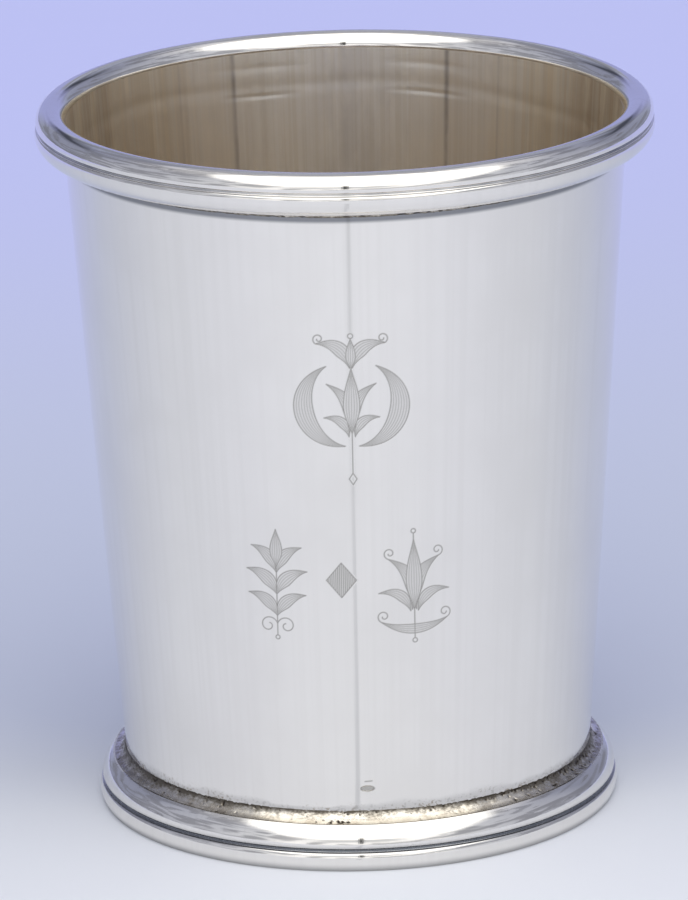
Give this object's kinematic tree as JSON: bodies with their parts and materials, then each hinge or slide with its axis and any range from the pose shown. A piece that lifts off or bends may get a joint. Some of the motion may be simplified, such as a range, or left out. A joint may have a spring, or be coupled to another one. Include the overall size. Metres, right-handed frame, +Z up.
{
  "type": "julep cup",
  "caption": "Tapered silver julep cup: thin sheet wall, let-in flat bottom, moulded rim over the top edge and moulded foot round the base, joined by fillets of solder.",
  "frame": {"origin": "on the cup's axis, in the plane of the table that the foot stands on", "axes": "+Z up along the cup's axis from the foot to the mouth; +X to the right and -Y towards the viewer in the picture, where the engraving is"},
  "size_m": [0.0818, 0.0818, 0.0956],
  "materials": {
    "polished_silver": "polished, worn soft, with a fine grey groove of tarnish",
    "inner_silver": "polished, lightly tarnished warm grey",
    "silver_solder": "rough, pitted and tarnished brown in the pits"
  },
  "bodies": {
    "root": {"body_wall": "polished_silver", "bottom_disc": "inner_silver", "rim_moulding": "polished_silver", "foot_moulding": "polished_silver", "rim_solder": "silver_solder", "foot_solder": "silver_solder", "bottom_solder": "silver_solder"}
  },
  "joints": []
}
